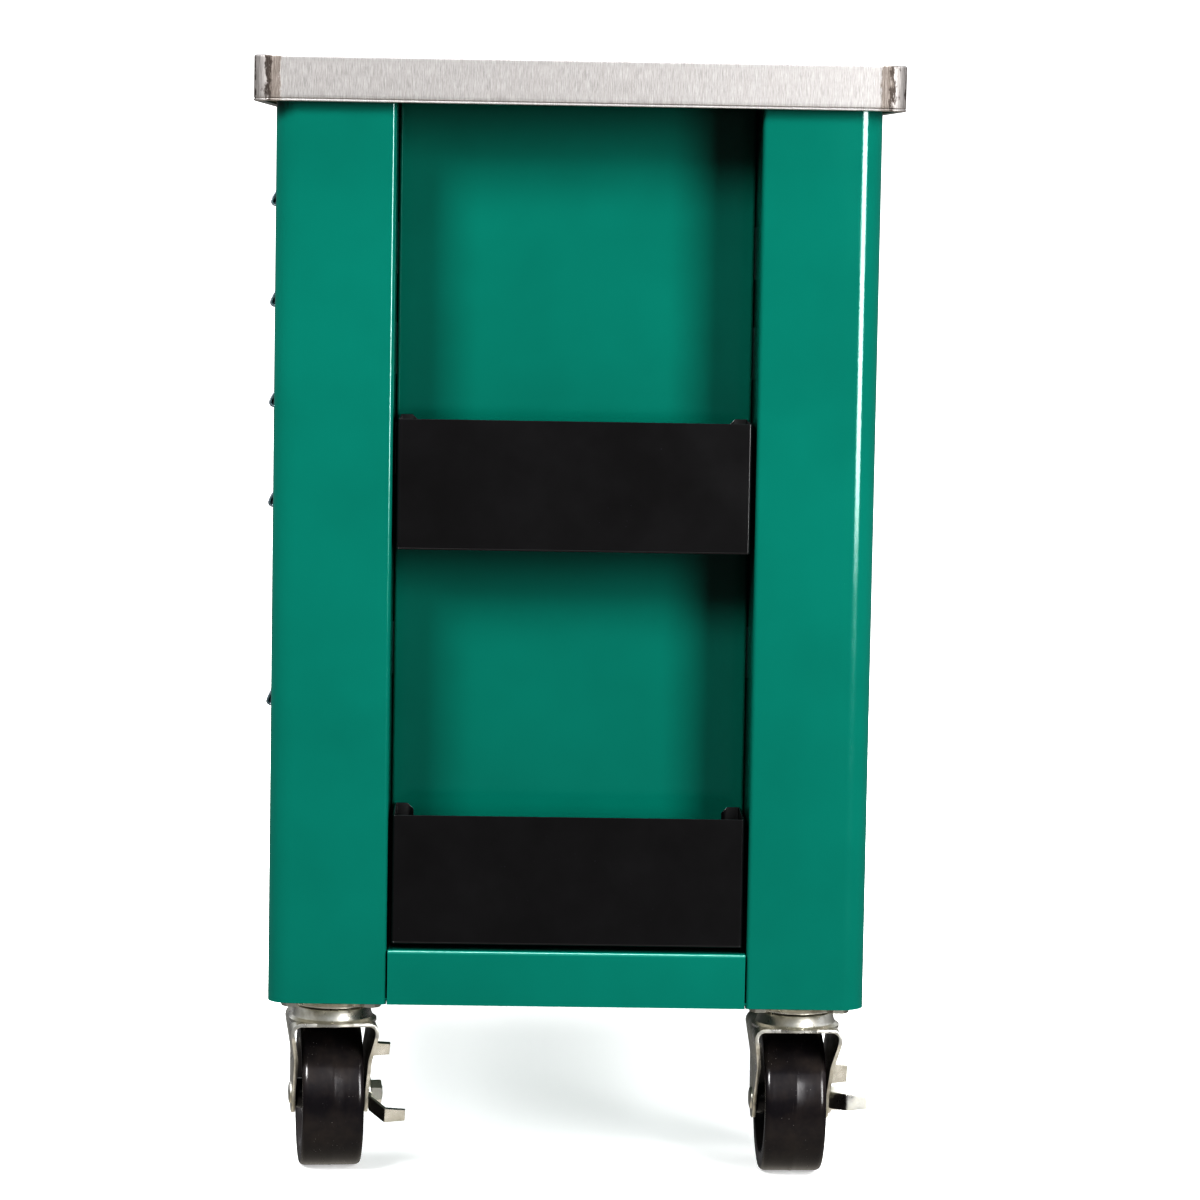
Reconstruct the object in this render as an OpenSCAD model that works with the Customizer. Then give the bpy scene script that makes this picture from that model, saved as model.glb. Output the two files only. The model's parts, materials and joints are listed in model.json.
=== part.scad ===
// Rolling tool chest: a painted sheet-steel body on four casters, with a stainless steel worktop,
// five drawers at the front and two open bins set into a recess at each end.
// +X is the end with the swivel casters, -Y is the drawer side, +Z is up, and z = 0 is the floor.

/* [Body] */
// Overall height, from the floor to the worktop's surface
total_h = 950; // [945:1:980]
// Length of the painted body, from end to end
body_w = 1040; // [1000:10:1100]
// Depth of the painted body, from front to back
body_d = 502; // [500:1:520]
// Height of the body's lower edge above the floor
body_z = 160; // [160:1:165]
// Width of a corner post, seen from the end
post_d = 100; // [98:1:110]
// Width of a corner post, seen from the front
post_w = 90; // [88:1:95]
// Radius of the body's upright corners
corner_r = 20; // [12:1:24]
// Thickness of the painted sheet
sheet_t = 1.5; // [1.2:0.1:2]
// Depth of the recess in each end
recess_d = 80; // [76:1:82]
// Height of the rail across the foot of each end
rail_h = 46; // [42:1:48]

/* [Worktop] */
// Height of the worktop's folded lip
lip_h = 38; // [36:1:42]
// How far the worktop stands out past the body at the front and back
overhang_y = 18; // [12:1:20]
// How far the worktop stands out past the body at the ends
overhang_x = 12; // [11:1:16]
// Radius of the worktop's corners
top_corner_r = 17; // [12:1:20]
// Thickness of the stainless steel
steel_t = 1.2; // [1:0.1:1.5]

/* [Drawers] */
// Height of the stack's upper edge above the floor
stack_top = 842; // [840:1:846]
// Pitch of the three shallow drawers
shallow_pitch = 85; // [80:1:88]
// Pitch of the deep drawer below them
deep_pitch = 170; // [160:1:180]
// Gap between one drawer front and the next
drawer_gap = 3; // [2:0.5:4]

/* [End bins] */
// Height of a bin
bin_h = 109; // [95:1:112]
// Height of the upper bin's floor above the floor of the room
bin_upper_z = 543; // [500:1:600]
// Height of the lower bin's floor above the floor of the room
bin_lower_z = 211; // [210:1:240]

/* [Casters] */
// Radius of a wheel
wheel_r = 62.5; // [60:0.5:62.5]
// Width of a wheel's tread
wheel_w = 52; // [44:1:54]
// Distance that a swivel caster's wheel trails behind its kingpin
trail = 38; // [36:1:42]
// Angle that the front swivel caster is turned to
front_yaw = 6; // [0:1:20]
// Angle that the rear swivel caster is turned to
rear_yaw = 2; // [0:1:20]

/* [Hidden] */

$fn = 48;
front = -1;
rear = 1;
right = 1;
left = -1;
// Small overlap that makes a cut run clean through a face
through = 1;

// Body, worked out from the driving sizes
half_w = body_w / 2;
half_d = body_d / 2;
post_y = half_d - post_d;
post_x = half_w - post_w;
panel_x = half_w - recess_d;
top_z = total_h - lip_h + steel_t;
plate_t = 3;
base_z = body_z + plate_t;
base_t = 2;
floor_z = base_z + base_t + 0.3;
seam = 0.6;
bend_r = 3;

// Worktop
hem_w = 9;

// Drawers
sill_top = body_z + 14;
header_z = stack_top + drawer_gap;
front_t = 1.2;
weld_gap = 0.1;
front_y = -half_d + 2;
pan_d = 20;
pan_back_y = front_y + pan_d;
grip_d = 12;
grip_h = 34;
grip_slope = 8;
cap_t = 2.2;
tray_x = post_x - 14;
tray_len = 450;
tray_lift = 6;
tray_drop = 10;
bottom_pitch = stack_top - sill_top - 3 * shallow_pitch - deep_pitch;
pitches = [shallow_pitch, shallow_pitch, shallow_pitch, deep_pitch, bottom_pitch];

// Slides: three nested channels on each side of a drawer
slide_y = pan_back_y + 11;
slide_len = 440;
mid_len = 420;
slide_rise = 26;
slide_t = 1.2;

// Lock in the header
lock_x = 340;
lock_z = 880;
plug_r = 6;
running = 0.05;
cam_reach = 12;
cam_end_r = 4;
cam_gap = 3;
bar_w = 20;
bar_t = 2.5;

// Casters
caster_x = half_w - 68;
caster_y = half_d - 53;
axle_r = 6;
axle_z = wheel_r;
hub_half = 29.3;
leg_in = 29.8;
leg_out = 33;
crown_half = 39;
crown_z = 133;
crown_t = 3.5;
fork_top = crown_z + crown_t;
race_z = 148.5;
bolt_dx = 42;
bolt_dy = 33;
bolt_hole_r = 5.5;
pedal_t = 2.5;
pedal_y = leg_out + 0.3;
pedal_lift = 28;

// Height of the upper edge of drawer i, counted from 0 at the top
function drawer_top(i) = i == 0 ? stack_top : drawer_top(i - 1) - pitches[i - 1];
function front_h(i) = pitches[i] - drawer_gap;
function tray_z(i) = drawer_top(i) - front_h(i) + tray_lift;
function tray_h(i) = front_h(i) - tray_lift - tray_drop;

// Quarter circle round a centre as points; a radius of 0 gives the centre alone
function quarter(centre, r, start, steps = 6) =
    r > 0 ? [for (i = [0:steps]) let (a = start + 90 * i / steps) centre + r * [cos(a), sin(a)]] : [centre];

// Outline of a rectangle, each corner with its own radius, anticlockwise from the lower left
function rounded_rect(lo, hi, r) = concat(
    quarter([lo.x + r[0], lo.y + r[0]], r[0], 180),
    quarter([hi.x - r[1], lo.y + r[1]], r[1], 270),
    quarter([hi.x - r[2], hi.y - r[2]], r[2], 0),
    quarter([lo.x + r[3], hi.y - r[3]], r[3], 90)
);

// The same outline a sheet's thickness further in
function inset_rect(lo, hi, r, t) =
    rounded_rect([lo.x + t, lo.y + t], [hi.x - t, hi.y - t], [for (v = r) max(v - t, 0)]);

// Closed sheet-metal section
module sheet_ring(lo, hi, r, t) {
    difference() {
        polygon(rounded_rect(lo, hi, r));
        polygon(inset_rect(lo, hi, r, t));
    }
}

// Rectangle between two corners
module span(lo, hi) {
    translate(lo) square([hi.x - lo.x, hi.y - lo.y]);
}

// Box between two corners
module block(lo, hi) {
    translate(lo) cube([hi.x - lo.x, hi.y - lo.y, hi.z - lo.z]);
}

// Extrudes a section drawn in Y and Z along X, between two places
module along_x(x0, x1) {
    translate([x0, 0, 0]) rotate([90, 0, 90]) linear_extrude(x1 - x0) children();
}

// Extrudes a section drawn in X and Z along Y, between two places
module along_y(y0, y1) {
    translate([0, y1, 0]) rotate([90, 0, 0]) linear_extrude(y1 - y0) children();
}

// Mirrors what is drawn for the right-hand end to the other end
module at_end(end) {
    mirror([end == left ? 1 : 0, 0, 0]) children();
}

// Mirrors what is drawn for the front to the back
module at_face(face) {
    mirror([0, face == rear ? 1 : 0, 0]) children();
}

// Upright cylinder between two heights
module pin(r, z0, z1) {
    translate([0, 0, z0]) cylinder(h = z1 - z0, r = r);
}

// Cylinder along Y between two places, at the origin of X and Z
module pin_y(r, y0, y1) {
    translate([0, y1, 0]) rotate([90, 0, 0]) cylinder(h = y1 - y0, r = r);
}

// ---- Painted body ----

// Hollow corner post; its outer skin reaches below the base pan and hides the pan's edge
module post(face, end) {
    color("teal") at_end(end) at_face(face) difference() {
        translate([0, 0, body_z]) linear_extrude(top_z - body_z)
            sheet_ring([post_x, -half_d], [half_w, -post_y], [bend_r, corner_r, bend_r + 1, bend_r], sheet_t);
        translate([0, 0, body_z - through]) linear_extrude(floor_z - body_z + through)
            polygon(base_outline(0.2));
    }
}

// Outline of the space inside the body's outer skin
function base_outline(gap) =
    rounded_rect([-half_w, -half_d] + [1, 1] * (sheet_t - gap), [half_w, half_d] - [1, 1] * (sheet_t - gap),
        [1, 1, 1, 1] * (corner_r - sheet_t + gap));

// Wall at the back of an end recess, with a flange along each post
module side_panel(end) {
    half = post_y - seam;
    color("teal") at_end(end) difference() {
        translate([0, 0, floor_z]) linear_extrude(top_z - floor_z) difference() {
            polygon(rounded_rect([post_x + 0.5, -half], [panel_x, half], [0, bend_r, bend_r, 0]));
            polygon(rounded_rect([post_x, -half + sheet_t], [panel_x - sheet_t, half - sheet_t],
                [0, sheet_t, sheet_t, 0]));
        }
        for (z = [bin_upper_z, bin_lower_z]) rivet_places(z) pin_y(2.5, -2 * sheet_t, through);
    }
}

// Rail across the foot of an end, folded back at the top to floor the recess
module side_rail(end) {
    color("teal") at_end(end) along_y(-post_y + seam, post_y - seam) difference() {
        sheet_ring([panel_x + 0.3, body_z - 10], [half_w, body_z + rail_h], [0, 0, bend_r, bend_r], sheet_t);
        span([panel_x - through, body_z - 12], [half_w - sheet_t - 0.1, body_z + rail_h - 18]);
        span([panel_x - through, body_z - 12], [half_w + through, body_z]);
    }
}

module back_panel() {
    color("teal") translate([0, 0, floor_z]) linear_extrude(top_z - floor_z) difference() {
        polygon(rounded_rect([-post_x + 0.5, half_d - 13], [post_x - 0.5, half_d], [0, 0, bend_r, bend_r]));
        span([-post_x + 0.5 + sheet_t, half_d - 13 - through], [post_x - 0.5 - sheet_t, half_d - sheet_t]);
    }
}

// Floor of the body, which carries the casters
module base_pan() {
    color("teal") translate([0, 0, base_z]) linear_extrude(base_t) difference() {
        polygon(base_outline(-0.2));
        for (x = [-caster_x, caster_x], y = [-caster_y, caster_y])
            for (dx = [-bolt_dx, bolt_dx], dy = [-bolt_dy, bolt_dy])
                translate([x + dx, y + dy]) circle(bolt_hole_r);
    }
}

// Panel above the drawers, folded back at both edges, with the hole for the lock
module header() {
    color("teal") difference() {
        along_x(-post_x + 0.5, post_x - 0.5) difference() {
            sheet_ring([-half_d, header_z], [-half_d + 40, top_z], [bend_r, 0, 0, bend_r], sheet_t);
            span([-half_d + 25, header_z - through], [-half_d + 41, top_z + through]);
        }
        translate([lock_x, 0, lock_z]) pin_y(9.6, -half_d - through, -half_d + 5);
    }
}

// Strip below the drawers, folded back at the top
module sill() {
    color("teal") along_x(-post_x + 0.5, post_x - 0.5) {
        span([-half_d, body_z], [-half_d + sheet_t, sill_top]);
        span([-half_d, sill_top - sheet_t], [-half_d + 25, sill_top]);
    }
}

// ---- Worktop ----

function top_outline(inset) =
    rounded_rect([-half_w - overhang_x + inset, -half_d - overhang_y + inset],
        [half_w + overhang_x - inset, half_d + overhang_y - inset], [1, 1, 1, 1] * (top_corner_r - inset));

// Stainless sheet folded down into a lip and hemmed inward
module worktop() {
    color("lightgray") difference() {
        translate([0, 0, total_h - lip_h]) linear_extrude(lip_h) polygon(top_outline(0));
        translate([0, 0, top_z]) linear_extrude(lip_h - 2 * steel_t) polygon(top_outline(steel_t));
        translate([0, 0, total_h - lip_h - through]) linear_extrude(steel_t + 2 * through)
            polygon(top_outline(hem_w));
    }
}

module worktop_core() {
    color("burlywood") translate([0, 0, top_z]) linear_extrude(lip_h - 2 * steel_t)
        polygon(top_outline(steel_t + 0.3));
}

// ---- End bins ----

bin_x = half_w - 5;
bin_y = post_y - 3.5;
bin_back = panel_x + 0.4;
bin_t = 1.2;
ear_w = 16;
ear_chamfer = 5;

// Puts what is drawn along Y at each of a bin's rivets, at the face of the panel
module rivet_places(z) {
    for (y = [-bin_y + ear_w / 2, bin_y - ear_w / 2], dz = [24, bin_h - 24])
        translate([panel_x, y, z + dz]) rotate([0, 0, -90]) children();
}

// Open-topped sheet bin whose sides turn in at the back to be riveted to the panel
module bin(z, end) {
    color("dimgray") at_end(end) difference() {
        union() {
            translate([0, 0, z]) linear_extrude(bin_h) difference() {
                sheet_ring([bin_back, -bin_y], [bin_x, bin_y], [2, 2.5, 2.5, 2], bin_t);
                span([bin_back - through, -bin_y + ear_w], [bin_back + 2 * bin_t, bin_y - ear_w]);
            }
            translate([0, 0, z]) linear_extrude(bin_t)
                polygon(rounded_rect([bin_back, -bin_y], [bin_x, bin_y], [2, 2.5, 2.5, 2]));
        }
        for (side = [-1, 1]) along_x(bin_back - through, bin_back + bin_t + 0.1)
            polygon([
                [side * (bin_y - ear_w - through), z + bin_h + through],
                [side * (bin_y - ear_w - through), z + bin_h - ear_chamfer - through],
                [side * (bin_y - ear_w + ear_chamfer + through), z + bin_h + through]
            ]);
        rivet_places(z) pin_y(2.5, 0, 2 * bin_t + through);
    }
}

module bin_rivets() {
    color("silver") for (end = [left, right], z = [bin_upper_z, bin_lower_z]) at_end(end) rivet_places(z) {
        pin_y(2.4, -2.5, bin_t + 0.5);
        pin_y(4.5, bin_t + 0.5, bin_t + 1.8);
    }
}

// ---- Drawers ----

// Section of a drawer front, a distance further in than its skin; its top is stepped back behind the pull
function front_section(i, inset) =
    let (
        top = drawer_top(i) - cap_t - inset,
        low = drawer_top(i) - front_h(i) + inset,
        step = drawer_top(i) - grip_h - inset / 2,
        open_y = pan_back_y + (inset > 0 ? through : 0)
    ) [
        [front_y + inset, low],
        [open_y, low],
        [open_y, top],
        [front_y + grip_d + inset, top],
        [front_y + grip_d + inset, step + grip_slope],
        [front_y + inset, step]
    ];

// Folded front with an inner plate at its back
module drawer_front(i) {
    difference() {
        along_x(-post_x + 1.5, post_x - 1.5) polygon(front_section(i, 0));
        along_x(-post_x + 1.5 + front_t, post_x - 1.5 - front_t) polygon(front_section(i, front_t));
    }
    block([-tray_x, pan_back_y - front_t, drawer_top(i) - front_h(i)],
        [tray_x, pan_back_y, drawer_top(i) - cap_t]);
}

// Tray of four flat sheets, spot-welded edge to edge and to the front with a hairline seam
module drawer_tray(i) {
    y0 = pan_back_y + weld_gap;
    y1 = pan_back_y + tray_len;
    wall_z = tray_z(i) + front_t + weld_gap;
    top = tray_z(i) + tray_h(i);
    block([-tray_x, y0, tray_z(i)], [tray_x, y1, tray_z(i) + front_t]);
    for (end = [left, right]) at_end(end) block([tray_x - front_t, y0, wall_z], [tray_x, y1, top]);
    block([-tray_x + front_t + weld_gap, y1 - front_t, wall_z], [tray_x - front_t - weld_gap, y1, top]);
}

module drawer(i) {
    color("teal") {
        drawer_front(i);
        drawer_tray(i);
    }
}

// Half circle round a centre, from angle a0 to angle a1
function half_turn(centre, r, a0, a1) =
    [for (i = [0:6]) let (a = a0 + (a1 - a0) * i / 6) centre + r * [cos(a), sin(a)]];

// Section of a pull, out from the drawer's face and up from its top edge: a cap over the front's edge
// and a lip that curls in at the bottom
function pull_section() =
    let (curl = [5.8, -12.8], curl_r = 4.2, sweep = 70) concat(
        [[-pan_d, -cap_t], [-pan_d, 0]],
        [for (k = [0:4]) let (t = k / 5) [1.5 + 8.5 * sin(sweep * t) / sin(sweep), curl.y * pow(t, 1.4)]],
        half_turn(curl, curl_r, 0, -180),
        half_turn(curl, curl_r - cap_t, -180, 0),
        [for (k = [4:-1:0]) let (t = k / 5)
            [0.6 + 7.2 * sin(sweep * t) / sin(sweep), -cap_t - 10.6 * pow(t, 1.3)]]
    );

// Pull along the whole front, with a plate behind the fingers
module pull(i) {
    plate_h = 24;
    plate_y = front_y + grip_d;
    color("silver") {
        along_x(-post_x + 2, post_x - 2)
            polygon([for (p = pull_section()) [front_y - p.x, drawer_top(i) + p.y]]);
        block([-post_x + 2, plate_y - 1.8, drawer_top(i) - plate_h], [post_x - 2, plate_y, drawer_top(i)]);
    }
}

// Channel section of one slide member at the right of a drawer: web at web_x, flanges to tip_x
module slide_section(web_x, tip_x, half_h) {
    dir = sign(tip_x - web_x);
    difference() {
        span([min(web_x, tip_x), -half_h], [max(web_x, tip_x), half_h]);
        span([min(web_x + dir * slide_t, tip_x + dir), -half_h + slide_t],
            [max(web_x + dir * slide_t, tip_x + dir), half_h - slide_t]);
    }
}

// One slide member of drawer i, on both sides
module slide_member(i, web_x, tip_x, half_h, length, shift) {
    for (end = [left, right]) at_end(end) translate([0, 0, tray_z(i) + slide_rise])
        along_y(slide_y + shift, slide_y + shift + length) slide_section(web_x, tip_x, half_h);
}

module fixed_slides() {
    color("silver") for (i = [0:4]) slide_member(i, post_x, post_x - 9, 22, slide_len, 0);
}

module mid_slide(i) {
    color("silver") slide_member(i, post_x - 2.2, post_x - 10.5, 18.2, mid_len, 4);
}

module drawer_slide(i) {
    color("silver") slide_member(i, tray_x, tray_x + 9.2, 13.5, slide_len, 0);
}

// ---- Lock ----

module lock_barrel() {
    color("silver") translate([lock_x, 0, lock_z]) difference() {
        union() {
            pin_y(9.5, -half_d - 0.5, -half_d + 19);
            pin_y(12, -half_d - 2, -half_d);
        }
        pin_y(plug_r + running, -half_d - 3, -half_d + 20);
    }
}

// Turning plug with the cam at its inner end
module lock_plug() {
    cam_y = -half_d + 22;
    color("gold") translate([lock_x, 0, lock_z]) {
        difference() {
            pin_y(plug_r, -half_d - 2.5, cam_y);
            block([-0.8, -half_d - 3, -3.5], [0.8, -half_d + 6, 3.5]);
        }
        pin_y(plug_r + 0.5, cam_y, cam_y + 2.5);
        block([0, cam_y, -cam_end_r], [cam_reach, cam_y + 2.5, cam_end_r]);
        translate([cam_reach, 0, 0]) pin_y(cam_end_r, cam_y, cam_y + 2.5);
    }
}

// Bar that the cam lifts: it runs back over the drawers and down behind them, with a tab for each
module lock_bar() {
    arm_z = lock_z + cam_end_r + cam_gap;
    back_y = half_d - 15;
    color("silver") translate([lock_x - cam_end_r, 0, 0]) {
        block([0, -half_d + 21, arm_z], [bar_w, back_y, arm_z + bar_t]);
        block([0, back_y - bar_t, sill_top + 16], [bar_w, back_y, arm_z + bar_t]);
        for (i = [0:4]) block([3, back_y - 11, tray_z(i) + 40], [bar_w - 3, back_y, tray_z(i) + 40 + bar_t]);
    }
}

// ---- Casters ----

module caster_bolt_places() {
    for (dx = [-bolt_dx, bolt_dx], dy = [-bolt_dy, bolt_dy]) translate([dx, dy, 0]) children();
}

module mount_plate() {
    difference() {
        translate([0, 0, body_z]) linear_extrude(plate_t)
            polygon(rounded_rect([-57.5, -50], [57.5, 50], [8, 8, 8, 8]));
        caster_bolt_places() pin(bolt_hole_r, body_z - through, base_z + through);
    }
}

// Mounting plates of the swivel casters, each with the upper half of its raceway
module caster_plates() {
    color("silver") for (y = [-caster_y, caster_y]) translate([caster_x, y, 0]) difference() {
        union() {
            mount_plate();
            rotate_extrude() polygon([
                [0, race_z + 1], [30, race_z], [34, race_z + 1], [34, race_z + 3.5],
                [19, race_z + 5], [19, body_z + 0.5], [0, body_z + 0.5]
            ]);
        }
        pin(axle_r + 0.1, race_z - through, base_z + through);
    }
}

// Hexagon-headed bolts with nuts, which hold the casters to the base pan
module caster_bolts() {
    color("silver") for (x = [-caster_x, caster_x], y = [-caster_y, caster_y]) translate([x, y, 0])
        caster_bolt_places() {
            pin(5, body_z - 3, base_z + base_t + 6.6);
            translate([0, 0, body_z - 6.4]) cylinder(h = 6.4, r = 9.2, $fn = 6);
            translate([0, 0, base_z + base_t]) cylinder(h = 6, r = 9.2, $fn = 6);
        }
}

// Rivets that the swivel forks turn on
module kingpins() {
    color("silver") for (y = [-caster_y, caster_y]) translate([caster_x, y, 0]) {
        pin(axle_r, crown_z - 3, base_z);
        pin(11, crown_z - 6, crown_z - 0.3);
    }
}

// Section of a fork across the wheel: an inverted U, wider at the crown than at the axle
module fork_section(top) {
    knee = top - 37;
    foot = axle_z - 18;
    difference() {
        polygon(concat(
            [[-leg_out, foot], [leg_out, foot], [leg_out, knee]],
            quarter([crown_half - 8, top - 8], 8, 0),
            quarter([-crown_half + 8, top - 8], 8, 90),
            [[-leg_out, knee]]
        ));
        polygon(concat(
            [[-leg_in, foot - through], [leg_in, foot - through], [leg_in, knee]],
            quarter([crown_half - crown_t - 5, top - crown_t - 5], 5, 0),
            quarter([-crown_half + crown_t + 5, top - crown_t - 5], 5, 90),
            [[-leg_in, knee]]
        ));
    }
}

// Fork seen from the side: crown from crown_back to crown_front, round foot about the axle at axle_x
module fork_outline(top, crown_front, crown_back, axle_x) {
    foot_r = 17;
    polygon([
        [crown_front, top], [crown_front, top - 14], [axle_x + foot_r, axle_z - 3],
        [axle_x, axle_z - foot_r], [axle_x - foot_r, axle_z + 3], [crown_back, top - 14], [crown_back, top]
    ]);
    translate([axle_x, axle_z]) circle(foot_r);
}

module fork_body(top, crown_front, crown_back, axle_x) {
    intersection() {
        along_x(crown_back, crown_front) fork_section(top);
        along_y(-crown_half - 1, crown_half + 1) fork_outline(top, crown_front, crown_back, axle_x);
    }
}

// Puts a swivel caster's moving parts, drawn with the kingpin at the origin and the wheel behind it
module at_swivel(face, yaw) {
    translate([caster_x, face * caster_y, 0]) rotate([0, 0, yaw]) children();
}

module swivel_fork(face, yaw) {
    crown_front = 34;
    crown_back = -trail - 20;
    color("silver") at_swivel(face, yaw) difference() {
        union() {
            fork_body(fork_top, crown_front, crown_back, -trail);
            rotate_extrude() polygon([
                [axle_r + 8, fork_top - 1], [36, fork_top - 1],
                [31, race_z - 0.8], [24, race_z - 0.3], [14, fork_top]
            ]);
        }
        pin(axle_r + running, crown_z - through, race_z);
        translate([-trail, 0, axle_z]) pin_y(axle_r + 0.15, -leg_out - through, leg_out + through);
    }
}

module wheel_shape() {
    half = wheel_w / 2;
    web = half - 14;
    rim_r = wheel_r - 14;
    rotate([90, 0, 0]) rotate_extrude($fn = 96) polygon([
        [axle_r + running, -hub_half], [13, -hub_half], [16, -web], [rim_r - 4, -web], [rim_r, -half],
        [wheel_r - 3, -half], [wheel_r, -half + 3], [wheel_r, half - 3], [wheel_r - 3, half],
        [rim_r, half], [rim_r - 4, web], [16, web], [13, hub_half], [axle_r + running, hub_half]
    ]);
}

module swivel_wheel(face, yaw) {
    color("black") at_swivel(face, yaw) translate([-trail, 0, axle_z]) wheel_shape();
}

// Bolt through a fork at the origin of X and Z: a flat round head, and a nut reach past the leg at +Y
module axle_bolt(reach) {
    head_t = 2.2;
    pin_y(axle_r, -leg_out - 1, leg_out + reach + 10);
    pin_y(9.5, -leg_out - head_t, -leg_out);
    translate([0, leg_out + reach + 9, 0]) rotate([90, 0, 0]) cylinder(h = 9, r = 10.5, $fn = 6);
}

module swivel_axle(face, yaw) {
    color("silver") at_swivel(face, yaw) translate([-trail, 0, axle_z]) axle_bolt(pedal_t + 0.6);
}

// Brake pedal: a plate that rocks on the axle, with a tab for the foot at each end of its arms
module pedal(face, yaw, lift) {
    color("silver") at_swivel(face, yaw) translate([-trail, 0, axle_z]) rotate([0, -lift, 0]) difference() {
        union() {
            pin_y(13, pedal_y, pedal_y + pedal_t);
            pedal_arm(-22, 37, 12, 15);
            pedal_arm(135, 46, 3.5, 20);
        }
        pin_y(axle_r + running, pedal_y - through, pedal_y + pedal_t + through);
    }
}

// One arm of the pedal at an angle up from +X; its outer part stands off from the leg by flare
module pedal_arm(angle, length, flare, tab_w) {
    rotate([0, -angle, 0]) {
        block([0, pedal_y, -7], [20, pedal_y + pedal_t, 7]);
        translate([0, pedal_y, -7]) linear_extrude(14) polygon([
            [18, 0], [length, flare], [length, flare + pedal_t], [18, pedal_t]
        ]);
        block(
            [length - pedal_t, pedal_y + flare, -tab_w / 2],
            [length, pedal_y + flare + 18, tab_w / 2]
        );
    }
}

// Forks of the casters that don't swivel, each in one piece with its plate
module rigid_forks() {
    color("silver") for (y = [-caster_y, caster_y]) translate([-caster_x, y, 0]) difference() {
        union() {
            mount_plate();
            fork_body(body_z + 0.5, 32, -32, 0);
        }
        translate([0, 0, axle_z]) pin_y(axle_r + 0.15, -leg_out - through, leg_out + through);
    }
}

module rigid_axles() {
    color("silver") for (y = [-caster_y, caster_y]) translate([-caster_x, y, axle_z]) axle_bolt(0.2);
}

module rigid_wheel(face) {
    color("black") translate([-caster_x, face * caster_y, axle_z]) wheel_shape();
}

post(front, right);  // post_front_right
post(rear, right);  // post_rear_right
post(front, left);  // post_front_left
post(rear, left);  // post_rear_left
side_panel(right);  // side_panel_right
side_panel(left);  // side_panel_left
side_rail(right);  // side_rail_right
side_rail(left);  // side_rail_left
back_panel();
base_pan();
header();
sill();
worktop();
worktop_core();
bin(bin_upper_z, right);  // bin_upper_right
bin(bin_lower_z, right);  // bin_lower_right
bin(bin_upper_z, left);  // bin_upper_left
bin(bin_lower_z, left);  // bin_lower_left
bin_rivets();
drawer(0);  // drawer_1
drawer(1);  // drawer_2
drawer(2);  // drawer_3
drawer(3);  // drawer_4
drawer(4);  // drawer_5
pull(0);  // pull_1
pull(1);  // pull_2
pull(2);  // pull_3
pull(3);  // pull_4
pull(4);  // pull_5
fixed_slides();
mid_slide(0);  // mid_slide_1
mid_slide(1);  // mid_slide_2
mid_slide(2);  // mid_slide_3
mid_slide(3);  // mid_slide_4
mid_slide(4);  // mid_slide_5
drawer_slide(0);  // drawer_slide_1
drawer_slide(1);  // drawer_slide_2
drawer_slide(2);  // drawer_slide_3
drawer_slide(3);  // drawer_slide_4
drawer_slide(4);  // drawer_slide_5
lock_barrel();
lock_plug();
lock_bar();
caster_plates();
caster_bolts();
kingpins();
swivel_fork(front, front_yaw);  // fork_front
swivel_fork(rear, rear_yaw);  // fork_rear
swivel_wheel(front, front_yaw);  // wheel_swivel_front
swivel_wheel(rear, rear_yaw);  // wheel_swivel_rear
swivel_axle(front, front_yaw);  // axle_front
swivel_axle(rear, rear_yaw);  // axle_rear
pedal(front, front_yaw, 0);  // pedal_front
pedal(rear, rear_yaw, pedal_lift);  // pedal_rear
rigid_forks();
rigid_axles();
rigid_wheel(front);  // wheel_rigid_front
rigid_wheel(rear);  // wheel_rigid_rear
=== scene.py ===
"""Rolling tool chest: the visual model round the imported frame.

Shapes are drawn in millimetres and turned into metres as each mesh is made. Materials, lights and the camera
are in metres.
"""
import json
import math

import bmesh
import bpy
from mathutils import Matrix, Vector


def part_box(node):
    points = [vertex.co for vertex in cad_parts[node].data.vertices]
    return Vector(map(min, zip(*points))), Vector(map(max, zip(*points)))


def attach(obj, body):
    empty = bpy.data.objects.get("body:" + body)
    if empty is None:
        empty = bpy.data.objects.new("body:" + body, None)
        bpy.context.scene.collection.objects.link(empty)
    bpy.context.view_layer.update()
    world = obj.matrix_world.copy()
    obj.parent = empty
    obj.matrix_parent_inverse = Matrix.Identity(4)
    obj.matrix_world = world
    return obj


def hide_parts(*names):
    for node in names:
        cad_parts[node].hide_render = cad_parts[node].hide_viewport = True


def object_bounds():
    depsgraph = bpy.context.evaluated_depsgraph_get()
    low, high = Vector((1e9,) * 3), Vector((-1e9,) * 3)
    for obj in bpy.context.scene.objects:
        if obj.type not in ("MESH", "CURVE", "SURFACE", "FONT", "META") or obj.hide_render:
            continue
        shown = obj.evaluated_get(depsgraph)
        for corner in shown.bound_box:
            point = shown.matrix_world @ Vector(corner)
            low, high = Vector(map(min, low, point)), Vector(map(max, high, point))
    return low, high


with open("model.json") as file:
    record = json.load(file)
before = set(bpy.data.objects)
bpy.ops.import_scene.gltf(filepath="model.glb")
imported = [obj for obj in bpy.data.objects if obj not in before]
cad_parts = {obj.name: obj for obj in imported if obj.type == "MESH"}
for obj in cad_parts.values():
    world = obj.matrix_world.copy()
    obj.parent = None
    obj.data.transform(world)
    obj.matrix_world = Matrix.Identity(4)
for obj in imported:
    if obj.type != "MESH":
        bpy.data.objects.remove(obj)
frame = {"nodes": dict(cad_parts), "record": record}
cad_low, cad_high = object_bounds()
MM = 0.001


# ---------------------------------------------------------------- shader helpers

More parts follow.
